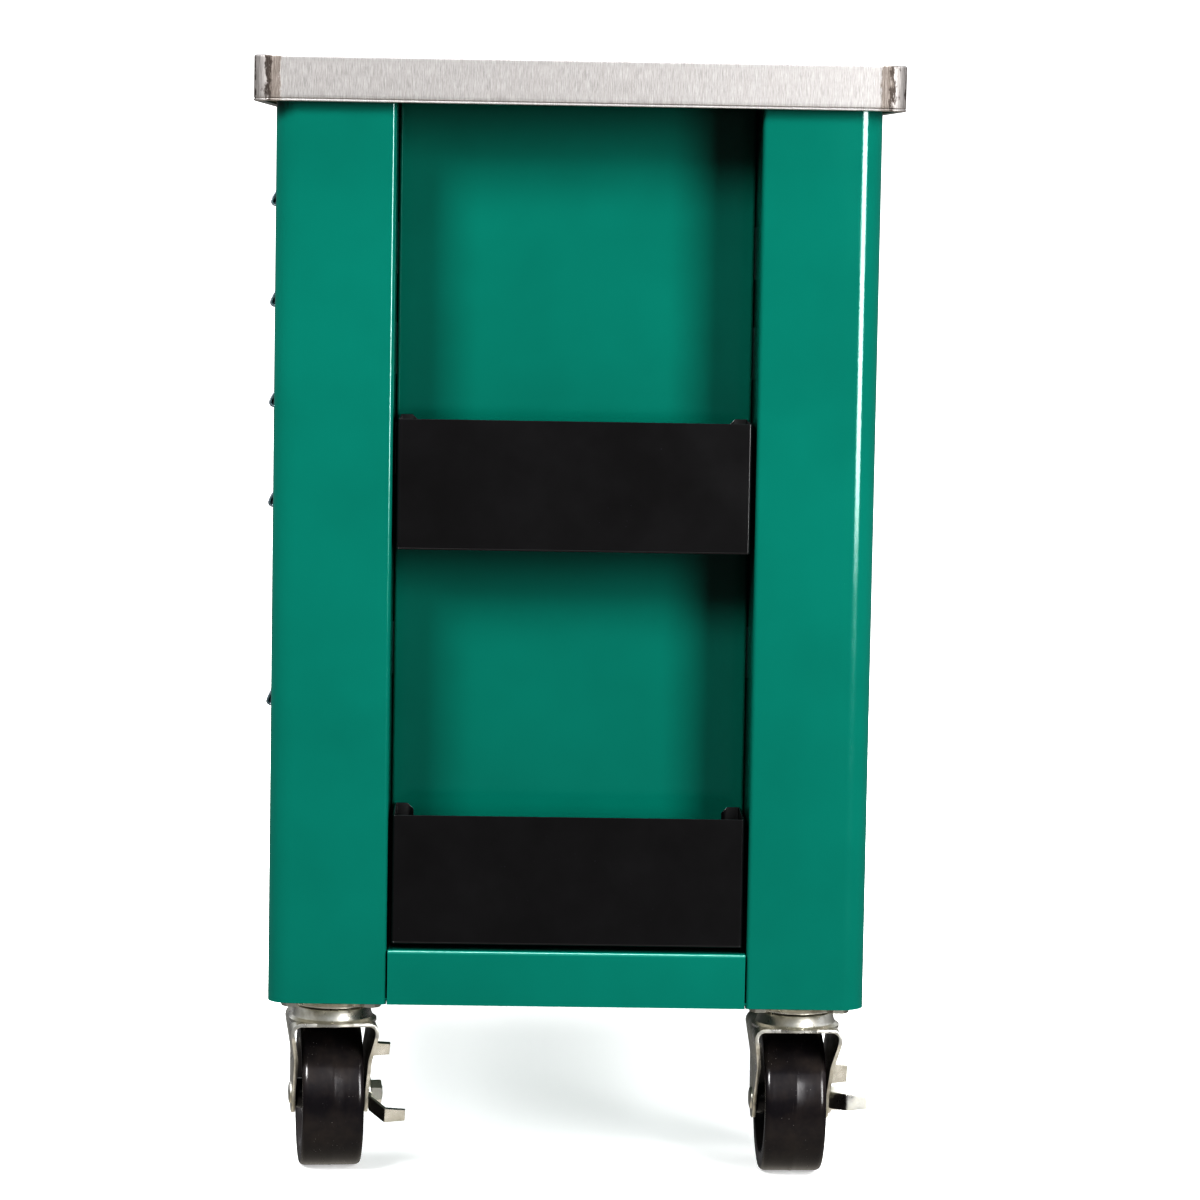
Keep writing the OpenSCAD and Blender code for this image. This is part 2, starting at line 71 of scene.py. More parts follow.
class Shader:
    """A material's node tree, built up from object-space patterns. Coordinates are metres."""

    def __init__(self, name, roughness=0.5, metallic=0.0):
        self.material = bpy.data.materials.new(name)
        self.material.use_nodes = True
        self.tree = self.material.node_tree
        self.bsdf = self.tree.nodes["Principled BSDF"]
        self.bsdf.inputs["Roughness"].default_value = roughness
        self.bsdf.inputs["Metallic"].default_value = metallic
        self.texco = self.node("ShaderNodeTexCoord").outputs["Object"]

    def node(self, kind, **inputs):
        """A new node with its inputs set or linked; an underscore stands for a space in an input's name."""
        made = self.tree.nodes.new(kind)
        for key, value in inputs.items():
            self.feed(made.inputs[key.replace("_", " ")], value)
        return made

    def feed(self, socket, value):
        """Links the value if it is another node's output, or else sets it."""
        if isinstance(value, bpy.types.NodeSocket):
            self.tree.links.new(value, socket)
        else:
            socket.default_value = value

    def place(self, stretch):
        """Object coordinates scaled differently along X, Y and Z."""
        mapping = self.node("ShaderNodeMapping", Vector=self.texco)
        mapping.inputs["Scale"].default_value = stretch
        return mapping.outputs["Vector"]

    def noise(self, per_metre, detail=2.0, roughness=0.5, stretch=None, distortion=0.0):
        where = self.place(stretch) if stretch else self.texco
        made = self.node("ShaderNodeTexNoise", Vector=where, Scale=per_metre, Detail=detail,
                         Roughness=roughness, Distortion=distortion)
        return made.outputs["Fac"]

    def cells(self, per_metre):
        """Distance to the nearest of a scatter of points."""
        made = self.node("ShaderNodeTexVoronoi", Vector=self.texco, Scale=per_metre)
        return made.outputs["Distance"]

    def remap(self, value, low, high, to_low=0.0, to_high=1.0):
        """The value spread from one range to another and held at its ends."""
        made = self.node("ShaderNodeMapRange", Value=value)
        for key, number in zip(("From Min", "From Max", "To Min", "To Max"), (low, high, to_low, to_high)):
            self.feed(made.inputs[key], number)
        return made.outputs["Result"]

    def maths(self, operation, a, b=0.0):
        made = self.tree.nodes.new("ShaderNodeMath")
        made.operation = operation
        self.feed(made.inputs[0], a)
        self.feed(made.inputs[1], b)
        return made.outputs[0]

    def axis(self, index):
        """One object-space coordinate."""
        split = self.node("ShaderNodeSeparateXYZ", Vector=self.texco)
        return split.outputs[index]

    def facing(self, index):
        """How far the surface faces along an axis, from 0 to 1, whichever way."""
        geometry = self.node("ShaderNodeNewGeometry")
        split = self.node("ShaderNodeSeparateXYZ", Vector=geometry.outputs["True Normal"])
        return self.maths("ABSOLUTE", split.outputs[index])

    def mix(self, factor, a, b):
        """Colour between a and b. The node's sockets 6 and 7 are its colours, and output 2 is the result."""
        made = self.tree.nodes.new("ShaderNodeMix")
        made.data_type = "RGBA"
        self.feed(made.inputs["Factor"], factor)
        self.feed(made.inputs[6], a)
        self.feed(made.inputs[7], b)
        return made.outputs[2]

    def colour(self, value):
        self.feed(self.bsdf.inputs["Base Color"], value)

    def rough(self, value):
        self.feed(self.bsdf.inputs["Roughness"], value)

    def bump(self, height, depth, strength=1.0, under=None):
        """Relief of a pattern, depth metres deep, over another relief if one is given."""
        made = self.node("ShaderNodeBump", Height=height, Distance=depth, Strength=strength)
        if under is not None:
            self.feed(made.inputs["Normal"], under)
        self.feed(self.bsdf.inputs["Normal"], made.outputs["Normal"])
        return made.outputs["Normal"]


def rgb(r, g, b):
    """Linear colour from the 8-bit values seen on a screen."""
    linear = (((v / 255 + 0.055) / 1.055) ** 2.4 if v > 10 else v / 255 / 12.92 for v in (r, g, b))
    return (*linear, 1.0)


# ---------------------------------------------------------------- materials

def green_paint():
    """Satin powder coat with a fine orange peel, faint clouding, and a few pale specks and rubs."""
    s = Shader("green_powder_coat")
    cloud = s.noise(7, 3, 0.6)
    tone = s.mix(s.remap(cloud, 0.3, 0.7), (0.002, 0.190, 0.148, 1), (0.003, 0.212, 0.166, 1))
    specks = s.remap(s.cells(95), 0.035, 0.012)
    where = s.remap(s.noise(9, 2), 0.56, 0.66)
    tone = s.mix(s.maths("MULTIPLY", s.maths("MULTIPLY", specks, where), 0.30), tone, rgb(90, 185, 165))
    rubs = s.noise(22, 4, 0.7, stretch=(1.0, 1.0, 0.16), distortion=0.6)
    rubs = s.maths("MULTIPLY", s.remap(rubs, 0.70, 0.78), 0.10)
    s.colour(s.mix(rubs, tone, rgb(60, 160, 140)))
    s.rough(s.remap(s.noise(30, 3), 0.3, 0.7, 0.10, 0.15))
    s.bsdf.inputs["Specular IOR Level"].default_value = 0.7
    peel = s.noise(620, 2, 0.55)
    s.bump(peel, 0.00010, 0.35)
    return s.material


def stainless():
    """Brushed sheet: grain along X on the flat top, upright on the lip, and hand-ground corners, with a dark
    line painted across each ground corner as the shade of a crease.
    """
    s = Shader("brushed_stainless", metallic=1.0)
    flat = s.remap(s.facing(2), 0.4, 0.7)
    grain_top = s.noise(1, 3, 0.75, stretch=(14, 2600, 14))
    grain_lip = s.noise(1, 3, 0.8, stretch=(1500, 1500, 90))
    grain = s.mix(flat, grain_lip, grain_top)
    streaks = s.noise(1, 3, 0.7, stretch=(420, 420, 25))
    to_corner = s.maths("ADD", s.maths("ABSOLUTE", s.axis(0)), s.maths("ABSOLUTE", s.axis(1)))
    ragged = s.maths("MULTIPLY", s.maths("SUBTRACT", s.noise(230, 3, 0.7, stretch=(1, 1, 0.45)), 0.5), 0.011)
    to_corner = s.maths("ADD", to_corner, ragged)
    edge = cad_high[0] + cad_high[1]
    ground = s.remap(to_corner, edge - 0.0235, edge - 0.0215)
    ground = s.maths("MULTIPLY", ground, s.remap(flat, 0.0, 1.0, 1.0, 0.25))
    # Painted shade: a dark line about 13.5 mm in from each corner stands in for the shade of a crease that
    # the mesh does not have.
    painted_crease_shade = s.remap(s.maths("ABSOLUTE", s.maths("SUBTRACT", to_corner, edge - 0.0135)), 0.0018, 0.0004)
    scour = s.noise(1, 4, 0.8, stretch=(900, 900, 60))
    clean = s.mix(s.remap(grain, 0.3, 0.7), (0.256, 0.247, 0.242, 1), (0.50, 0.49, 0.485, 1))
    clean = s.mix(s.maths("MULTIPLY", s.remap(streaks, 0.35, 0.7), 0.35), clean, (0.34, 0.32, 0.31, 1))
    outer = s.mix(s.remap(scour, 0.3, 0.7), (0.34, 0.32, 0.31, 1), (0.62, 0.60, 0.59, 1))
    inner = s.mix(s.remap(scour, 0.3, 0.7), (0.15, 0.13, 0.115, 1), (0.36, 0.33, 0.31, 1))
    wear_and_crease_shade = s.mix(s.remap(to_corner, edge - 0.0140, edge - 0.0115), inner, outer)
    # The painted crease shade is laid over the worn ground corners.
    wear_and_crease_shade = s.mix(s.maths("MULTIPLY", painted_crease_shade, 0.8), wear_and_crease_shade, (0.06, 0.048, 0.042, 1))
    s.colour(s.mix(ground, clean, wear_and_crease_shade))
    smooth = s.maths("ADD", s.remap(grain, 0.3, 0.7, 0.24, 0.36), s.remap(flat, 0, 1, 0.22, 0))
    s.rough(s.maths("ADD", smooth, s.maths("MULTIPLY", ground, 0.10)))
    fine = s.bump(grain, 0.00002, 0.35)
    s.bump(s.maths("MULTIPLY", scour, ground), 0.0005, 0.5, under=fine)
    return s.material


def black_coat():
    """Satin black powder coat with slight clouding and dust."""
    s = Shader("black_powder_coat")
    cloud = s.noise(14, 4, 0.6)
    tone = s.mix(s.remap(cloud, 0.35, 0.7), (0.0172, 0.0164, 0.017, 1), (0.0212, 0.0204, 0.0215, 1))
    dust = s.maths("MULTIPLY", s.remap(s.cells(130), 0.05, 0.02), s.remap(s.noise(12, 2), 0.53, 0.63))
    s.colour(s.mix(s.maths("MULTIPLY", dust, 0.35), tone, rgb(120, 120, 140)))
    s.rough(s.remap(cloud, 0.3, 0.7, 0.18, 0.25))
    s.bump(s.noise(700, 2, 0.5), 0.00008, 0.25)
    return s.material


def zinc():
    """Bright zinc plate on pressed steel, faintly yellow, with drawing lines and dull clouds."""
    s = Shader("zinc_plate", metallic=1.0)
    cloud = s.noise(55, 4, 0.65)
    tone = s.mix(s.remap(cloud, 0.32, 0.68), (0.60, 0.59, 0.53, 1), (0.90, 0.895, 0.86, 1))
    stain = s.remap(s.noise(24, 3, 0.6, distortion=1.2), 0.55, 0.75)
    s.colour(s.mix(s.maths("MULTIPLY", stain, 0.35), tone, (0.46, 0.43, 0.30, 1)))
    s.rough(s.remap(cloud, 0.34, 0.66, 0.46, 0.24))
    lines = s.noise(1, 3, 0.6, stretch=(300, 300, 1500))
    s.bump(lines, 0.00004, 0.3)
    return s.material


def wheel_plastic():
    """Glossy black moulded wheel with brownish grime, scuffs and light specks."""
    s = Shader("black_wheel_plastic")
    scuff = s.noise(1, 4, 0.7, stretch=(60, 420, 60), distortion=0.5)
    grime = s.remap(s.noise(38, 3, 0.6), 0.4, 0.7)
    tone = s.mix(s.maths("MULTIPLY", grime, 0.6), (0.022, 0.019, 0.022, 1), (0.060, 0.048, 0.042, 1))
    chips = s.maths("MULTIPLY", s.remap(s.cells(360), 0.15, 0.06), s.remap(s.noise(60, 2), 0.56, 0.64))
    s.colour(s.mix(s.maths("MULTIPLY", chips, 0.7), tone, (0.5, 0.48, 0.45, 1)))
    s.rough(s.remap(scuff, 0.3, 0.7, 0.15, 0.28))
    s.bump(s.noise(180, 3, 0.6), 0.00015, 0.25)
    return s.material


def anodised():
    """Drawn and anodised aluminium with its lines along X."""
    s = Shader("anodised_aluminium", metallic=1.0)
    lines = s.noise(1, 3, 0.7, stretch=(10, 1800, 1800))
    s.colour(s.mix(s.remap(lines, 0.3, 0.7), (0.50, 0.54, 0.60, 1), (0.66, 0.70, 0.76, 1)))
    s.rough(s.remap(lines, 0.3, 0.7, 0.22, 0.34))
    s.bump(lines, 0.00002, 0.3)
    return s.material


def rolled_steel():
    """Zinc-plated rolled slide steel with lines along Y and traces of grease."""
    s = Shader("rolled_slide_steel", metallic=1.0)
    lines = s.noise(1, 3, 0.7, stretch=(1600, 12, 1600))
    grease = s.remap(s.noise(26, 3), 0.5, 0.75)
    tone = s.mix(s.remap(lines, 0.3, 0.7), (0.44, 0.45, 0.46, 1), (0.62, 0.63, 0.64, 1))
    s.colour(s.mix(s.maths("MULTIPLY", grease, 0.4), tone, (0.30, 0.28, 0.22, 1)))
    s.rough(s.remap(lines, 0.3, 0.7, 0.28, 0.42))
    s.bump(lines, 0.00002, 0.3)
    return s.material


def chrome():
    """Polished lock with light wear."""
    s = Shader("polished_lock", metallic=1.0)
    wear = s.noise(260, 4, 0.6)
    s.colour(s.mix(s.remap(wear, 0.4, 0.7), (0.72, 0.72, 0.73, 1), (0.60, 0.60, 0.60, 1)))
    s.rough(s.remap(wear, 0.3, 0.7, 0.10, 0.24))
    s.bump(wear, 0.00002, 0.2)
    return s.material


def fibreboard():
    """Raw pressed board with short fibres."""
    s = Shader("fibreboard")
    fibres = s.noise(420, 4, 0.7)
    s.colour(s.mix(s.remap(fibres, 0.3, 0.7), (0.30, 0.20, 0.11, 1), (0.45, 0.32, 0.19, 1)))
    s.rough(s.remap(fibres, 0.3, 0.7, 0.75, 0.9))
    s.bump(fibres, 0.0003, 0.5)
    return s.material


def floor_paint():
    """Plain pale floor that glows slightly, so that it stays near white."""
    s = Shader("studio_floor", roughness=0.7)
    mottle = s.noise(3, 3)
    s.bsdf.inputs["Emission Color"].default_value = (1, 1, 1, 1)
    s.bsdf.inputs["Emission Strength"].default_value = 0.3
    s.colour(s.mix(mottle, (0.90, 0.90, 0.90, 1), (0.93, 0.93, 0.93, 1)))
    return s.material


LOOKS = {
    "green_paint": green_paint(),
    "stainless": stainless(),
    "black_sheet": black_coat(),
    "zinc_plate": zinc(),
    "wheel_plastic": wheel_plastic(),
    "anodised_pull": anodised(),
    "slide_steel": rolled_steel(),
    "chrome_lock": chrome(),
    "board": fibreboard(),
}


# ---------------------------------------------------------------- mesh helpers

SMOOTH_UNDER = math.radians(22)
BEVEL_OVER = math.radians(38)
BEND_STEPS = 8


def arc_corner(before, corner, after, radius):
    """Points that round a corner of a 2D path; a radius of 0 keeps the corner."""
    if radius <= 0:
        return [Vector(corner)]
    a, b, c = Vector(before), Vector(corner), Vector(after)
    into, out = (a - b).normalized(), (c - b).normalized()
    half = into.angle(out) / 2
    centre = b + (into + out).normalized() * radius / math.sin(half)
    start = b + into * radius / math.tan(half) - centre
    end = b + out * radius / math.tan(half) - centre
    turn = start.angle_signed(end)
    points = []
    for k in range(BEND_STEPS + 1):
        angle = -turn * k / BEND_STEPS
        points.append(centre + Matrix.Rotation(angle, 2) @ start)
    return points


def rounded_path(corners, radii, closed):
    """The path with rounded corners; radii is one radius or a list. An open path keeps its two ends."""
    count = len(corners)
    points = []
    for i, corner in enumerate(corners):
        radius = radii[i] if not isinstance(radii, (int, float)) else radii
        if not closed and i in (0, count - 1):
            points.append(Vector(corner))
        else:
            points += arc_corner(corners[i - 1], corner, corners[(i + 1) % count], radius)
    return points


def offset_path(points, distance, closed):
    """The path moved sideways, to the left of its direction."""
    count = len(points)
    moved = []
    for i, p in enumerate(points):
        back = points[i - 1] if closed or i > 0 else None
        ahead = points[(i + 1) % count] if closed or i < count - 1 else None
        directions = []
        if back is not None:
            directions.append((p - back).normalized())
        if ahead is not None:
            directions.append((ahead - p).normalized())
        normals = [Vector((-d.y, d.x)) for d in directions]
        mean = sum(normals, Vector((0, 0))).normalized()
        moved.append(p + mean * distance / max(mean.dot(normals[0]), 0.3))
    return moved


AXIS_PLACE = {
    "x": lambda u, v, w: (w, u, v),
    "y": lambda u, v, w: (u, w, v),
    "z": lambda u, v, w: (u, v, w),
}


def finish_mesh(bm, name, look, bevel=0.0, smooth=True):
    """Makes an object of a bmesh, in millimetres until now, with its material and soft edges."""
    bmesh.ops.recalc_face_normals(bm, faces=bm.faces)
    bmesh.ops.scale(bm, vec=(MM, MM, MM), verts=bm.verts)
    mesh = bpy.data.meshes.new(name)
    bm.to_mesh(mesh)
    bm.free()
    made = bpy.data.objects.new(name, mesh)
    bpy.context.scene.collection.objects.link(made)
    mesh.materials.append(LOOKS[look])
    if smooth:
        soften(made, bevel)
    return made


def soften(piece, bevel=0.0, segments=2):
    """Smooth shading with crisp edges, and a small round on them where asked."""
    for face in piece.data.polygons:
        face.use_smooth = True
    if bevel:
        rounding = piece.modifiers.new("edges", "BEVEL")
        rounding.width = bevel * MM
        rounding.segments = segments
        rounding.limit_method = "ANGLE"
        rounding.angle_limit = BEVEL_OVER
        rounding.harden_normals = False
        bake_modifiers(piece)
        for face in piece.data.polygons:
            face.use_smooth = True
    piece.data.set_sharp_from_angle(angle=SMOOTH_UNDER)


def bake_modifiers(piece):
    """Replaces the piece's mesh with what its modifiers make of it."""
    bpy.context.view_layer.update()
    graph = bpy.context.evaluated_depsgraph_get()
    mesh = bpy.data.meshes.new_from_object(piece.evaluated_get(graph))
    piece.modifiers.clear()
    piece.data = mesh


def carve(piece, cutter, operation="DIFFERENCE"):
    """Cuts the piece with another closed mesh, which is used up."""
    cut = piece.modifiers.new("cut", "BOOLEAN")
    cut.operation = operation
    cut.solver = "EXACT"
    cut.object = cutter
    bake_modifiers(piece)
    bpy.data.objects.remove(cutter)
    return piece


def merge(name, pieces):
    """Joins pieces of one body into one object."""
    bm = bmesh.new()
    looks = []
    for piece in pieces:
        look = piece.data.materials[0]
        if look not in looks:
            looks.append(look)
        start = len(bm.faces)
        bm.from_mesh(piece.data)
        bm.faces.ensure_lookup_table()
        for face in bm.faces[start:]:
            face.material_index = looks.index(look)
        bpy.data.objects.remove(piece)
    mesh = bpy.data.meshes.new(name)
    bm.to_mesh(mesh)
    bm.free()
    made = bpy.data.objects.new(name, mesh)
    bpy.context.scene.collection.objects.link(made)
    for look in looks:
        mesh.materials.append(look)
    return made


def folded_sheet(name, corners, radii, thick, axis, low, high, look, closed=False, bevel=0.25, parts=1):
    """Bent sheet: corners is the path of its right-hand face, and it is extruded along an axis.

    low and high are heights along the axis, or functions of a point of the path."""
    place = AXIS_PLACE[axis]
    outer = rounded_path(corners, radii, closed)
    inner = offset_path(outer, thick, closed)
    bm = bmesh.new()
    rows = []
    for o, i in zip(outer, inner):
        lo = low(o) if callable(low) else low
        hi = high(o) if callable(high) else high
        ring = []
        for k in range(parts + 1):
            w = lo + (hi - lo) * k / parts
            ring.append((bm.verts.new(place(o.x, o.y, w)), bm.verts.new(place(i.x, i.y, w))))
        rows.append(ring)
    count = len(rows)
    for n in range(count if closed else count - 1):
        a, b = rows[n], rows[(n + 1) % count]
        for k in range(parts):
            bm.faces.new((a[k][0], b[k][0], b[k + 1][0], a[k + 1][0]))
            bm.faces.new((b[k][1], a[k][1], a[k + 1][1], b[k + 1][1]))
        bm.faces.new((b[0][0], a[0][0], a[0][1], b[0][1]))
        bm.faces.new((a[-1][0], b[-1][0], b[-1][1], a[-1][1]))
    if not closed:
        for end in (rows[0], rows[-1]):
            for k in range(parts):
                bm.faces.new((end[k][0], end[k + 1][0], end[k + 1][1], end[k][1]))
    return finish_mesh(bm, name, look, bevel)


def prism(name, outline, axis, low, high, look, bevel=0.25, smooth=True):
    """Solid of a closed 2D outline extruded along an axis."""
    place = AXIS_PLACE[axis]
    bm = bmesh.new()
    base = [bm.verts.new(place(p[0], p[1], low)) for p in outline]
    top = [bm.verts.new(place(p[0], p[1], high)) for p in outline]
    bm.faces.new(base)
    bm.faces.new(top)
    for i in range(len(outline)):
        j = (i + 1) % len(outline)
        bm.faces.new((base[i], base[j], top[j], top[i]))
    return finish_mesh(bm, name, look, bevel, smooth)


def rounded_rect(low, high, radius, steps=12):
    """Closed outline of a rectangle with equal corner radii."""
    (x0, y0), (x1, y1) = low, high
    outline = []
    for cx, cy, start in ((x1 - radius, y0 + radius, -90), (x1 - radius, y1 - radius, 0),
                          (x0 + radius, y1 - radius, 90), (x0 + radius, y0 + radius, 180)):
        for k in range(steps + 1):
            angle = math.radians(start + 90 * k / steps)
            outline.append(Vector((cx + radius * math.cos(angle), cy + radius * math.sin(angle))))
    return outline


def loft(name, rings, look, close_start=True):
    """Skin over rings of 3D points, all of one length, closed at the end and, if asked, at the start."""
    bm = bmesh.new()
    made = [[bm.verts.new(p) for p in ring] for ring in rings]
    for a, b in zip(made, made[1:]):
        for i in range(len(a)):
            j = (i + 1) % len(a)
            bm.faces.new((a[i], a[j], b[j], b[i]))
    if close_start:
        bm.faces.new(made[0])
    bm.faces.new(made[-1])
    return finish_mesh(bm, name, look)


def lathe(name, profile, look, centre=(0, 0, 0), axis="z", steps=72, closed=False):
    """Turned solid: profile is (radius, height) pairs; a radius of 0 makes a pole."""
    bm = bmesh.new()
    rings = []
    for r, h in profile:
        if r < 1e-6:
            rings.append([bm.verts.new((0, 0, h))])
        else:
            rings.append([bm.verts.new((r * math.cos(2 * math.pi * k / steps),
                                        r * math.sin(2 * math.pi * k / steps), h)) for k in range(steps)])
    pairs = list(zip(rings, rings[1:])) + ([(rings[-1], rings[0])] if closed else [])
    for a, b in pairs:
        for k in range(steps):
            j = (k + 1) % steps
            around = [a[k % len(a)], a[j % len(a)], b[j % len(b)], b[k % len(b)]]
            around = list(dict.fromkeys(around))
            if len(around) > 2:
                bm.faces.new(around)
    if axis == "y":
        bmesh.ops.rotate(bm, matrix=Matrix.Rotation(math.radians(-90), 3, "X"), verts=bm.verts)
    bmesh.ops.translate(bm, vec=centre, verts=bm.verts)
    return finish_mesh(bm, name, look)


def fillet(r, h, radius, start, steps=5):
    """Quarter round of a lathe or loft profile about (r, h), from an angle in degrees."""
    return [(r + radius * math.cos(math.radians(start + 90 * k / steps)),
             h + radius * math.sin(math.radians(start + 90 * k / steps))) for k in range(steps + 1)]


def hexagon(name, flat, height, look, centre=(0, 0, 0), axis="z", steps=72):
    """Hexagonal nut or bolt head whose corners are turned to a chamfer at both faces."""
    crown = flat * 1.04
    rings = []
    for level in range(4):
        ring = []
        for k in range(steps):
            angle = 2 * math.pi * k / steps
            reach = flat / math.cos((angle + math.pi / 6) % (math.pi / 3) - math.pi / 6)
            drop = max(reach - crown, 0) * math.tan(math.radians(30))
            r = min(reach, crown) if level in (0, 3) else reach
            h = (0, drop, height - drop, height)[level]
            ring.append((r * math.cos(angle), r * math.sin(angle), h))
        rings.append(ring)
    made = loft(name, rings, look)
    turn = Matrix.Rotation(math.radians(-90), 4, "X") if axis == "y" else Matrix.Identity(4)
    made.data.transform(Matrix.Translation(Vector(centre) * MM) @ turn)
    return made


def mirrored(piece, name, across="x"):
    """Copy of a piece mirrored through the middle of the chest."""
    copy = piece.copy()
    copy.data = piece.data.copy()
    copy.name = name
    copy.data.name = name
    bpy.context.scene.collection.objects.link(copy)
    factors = {"x": (-1, 1, 1), "y": (1, -1, 1)}[across]
    copy.data.transform(Matrix.Diagonal((*factors, 1)))
    copy.data.flip_normals()
    copy.data.set_sharp_from_angle(angle=SMOOTH_UNDER)
    return copy


# ---------------------------------------------------------------- painted body

SHEET = 1.5
BEND = 3.0
BODY_CORNER = 20.0
replaced = set()


def corners(node):
    """Lowest and highest corner of a CAD node, in millimetres."""
    low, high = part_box(node)
    return [v / MM for v in low], [v / MM for v in high]


def put(piece, body, slot, *nodes):
    """The piece rides on a body and stands for CAD nodes. The slot argument is not used."""
    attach(piece, body)
    if nodes:
        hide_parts(*nodes)
        replaced.update(nodes)
    return piece


def build_posts():
    """Four folded corner posts. Their outer skins reach lower than their inner parts."""
    (x0, y0, z0), (x1, y1, z1) = corners("post_front_right")
    inner_z = corners("side_panel_right")[0][2]

    def foot(point):
        skin = point.x > x1 - 4.5 or point.y < y0 + 3.5
        return z0 if skin or (point.x > x1 - BODY_CORNER and point.y < y0 + BODY_CORNER) else inner_z

    post = folded_sheet("post_front_right_skin",
                        [(x0, y0), (x1, y0), (x1, y1), (x1 - 6, y1), (x0, y1), (x0, y0 + 6)],
                        [BEND, BODY_CORNER, 4, 0, BEND, 0], SHEET, "z", foot, z1, "green_paint",
                        closed=True, parts=6)
    rear = mirrored(post, "post_rear_right_skin", "y")
    put(mirrored(post, "post_front_left_skin", "x"), "cabinet", "green_paint", "post_front_left")
    put(mirrored(rear, "post_rear_left_skin", "x"), "cabinet", "green_paint", "post_rear_left")
    put(post, "cabinet", "green_paint", "post_front_right")
    put(rear, "cabinet", "green_paint", "post_rear_right")


def build_ends():
    """The wall at the back of each end's recess, and the rail below it."""
    (x0, y0, z0), (x1, y1, z1) = corners("side_panel_right")
    panel = folded_sheet("side_panel_right_skin", [(x0, y0), (x1, y0), (x1, y1), (x0, y1)],
                         [0, BEND, BEND, 0], SHEET, "z", z0, z1, "green_paint", parts=4)
    put(mirrored(panel, "side_panel_left_skin"), "cabinet", "green_paint", "side_panel_left")
    put(panel, "cabinet", "green_paint", "side_panel_right")
    (x0, y0, z0), (x1, y1, z1) = corners("side_rail_right")
    rail = folded_sheet("side_rail_right_skin", [(x1, z0), (x1, z1), (x0, z1), (x0, z1 - 18)],
                        [0, BEND, BEND, 0], SHEET, "y", y0, y1, "green_paint", parts=3)
    put(mirrored(rail, "side_rail_left_skin"), "cabinet", "green_paint", "side_rail_left")
    put(rail, "cabinet", "green_paint", "side_rail_right")


def build_back_and_front():
    """Back panel with its screws, header above the drawers with the lock's hole, and sill below them."""
    (x0, y0, z0), (x1, y1, z1) = corners("back_panel")
    back = folded_sheet("back_panel_skin", [(x1, y0), (x1, y1), (x0, y1), (x0, y0)],
                        [0, BEND, BEND, 0], SHEET, "z", z0, z1, "green_paint", parts=4)
    screw = [(0, 1.6), (1.0, 1.6), (1.2, 1.1), (2.6, 1.2), (3.9, 0.7), (4.3, 0.0), (4.3, -0.6), (0, -0.6)]
    heads = [back]
    for side in (x0 + 14, x1 - 14):
        for k in range(7):
            height = z0 + 30 + k * (z1 - z0 - 60) / 6
            heads.append(lathe(f"screw_{len(heads)}", screw, "green_paint", (side, y1, height), "y", 28))
    put(merge("back_panel_screwed", heads), "cabinet", "green_paint", "back_panel")

    (x0, y0, z0), (x1, y1, z1) = corners("header")
    header = folded_sheet("header_skin", [(y1, z1), (y0, z1), (y0, z0), (y1, z0)], [0, BEND, BEND, 0],
                          SHEET, "x", x0, x1, "green_paint", parts=6, bevel=0)
    (left, _, bottom), (right, _, top) = corners("lock_barrel")
    hole_r = 9.6
    hole = lathe("lock_hole", [(0, -4), (hole_r, -4), (hole_r, 4), (0, 4)], "green_paint",
                 ((left + right) / 2, y0, (bottom + top) / 2), "y")
    carve(header, hole)
    soften(header, 0.25)
    put(header, "cabinet", "green_paint", "header")

    (x0, y0, z0), (x1, y1, z1) = corners("sill")
    sill = folded_sheet("sill_skin", [(y1, z1), (y0, z1), (y0, z0)], [0, 2, 0], SHEET, "x", x0, x1,
                        "green_paint", parts=6)
    put(sill, "cabinet", "green_paint", "sill")


# ---------------------------------------------------------------- worktop

def build_worktop():
    """Steel top with a deep lip: turned-in hem, a slight bead above it, and a rounded fold at the top."""
    (x0, y0, z0), (x1, y1, z1) = corners("worktop")
    corner, hem, fold = 17.0, 9.0, 1.8

    def ring(inset, z):
        outline = rounded_rect((x0 + inset, y0 + inset), (x1 - inset, y1 - inset), corner - inset, 16)
        return [(p.x, p.y, z) for p in outline]

    bead = [(0.1, 1.6), (0.35, 2.0), (0.5, 2.3), (0.35, 2.6), (0.1, 3.0), (0, 3.6)]
    rings = [ring(hem, z0 + 1.2), ring(hem + 0.3, z0 + 0.6), ring(hem, z0)]
    rings += [ring(1.0 - 1.0 * math.sin(a), z0 + 1.0 - 1.0 * math.cos(a))
              for a in (math.radians(15 * k) for k in range(7))]
    rings += [ring(inset, z0 + up) for inset, up in bead]
    rings += [ring(0, z) for z in (z0 + 6, z0 + 16, z1 - fold - 8, z1 - fold - 1)]
    rings += [ring(fold - fold * math.cos(a), z1 - fold + fold * math.sin(a))
              for a in (math.radians(15 * k) for k in range(7))]
    rings += [ring(fold + 2, z1), ring(corner - 1, z1)]
    top = loft("worktop_steel", rings, "stainless", close_start=False)
    put(top, "cabinet", "stainless", "worktop")


# ---------------------------------------------------------------- end bins

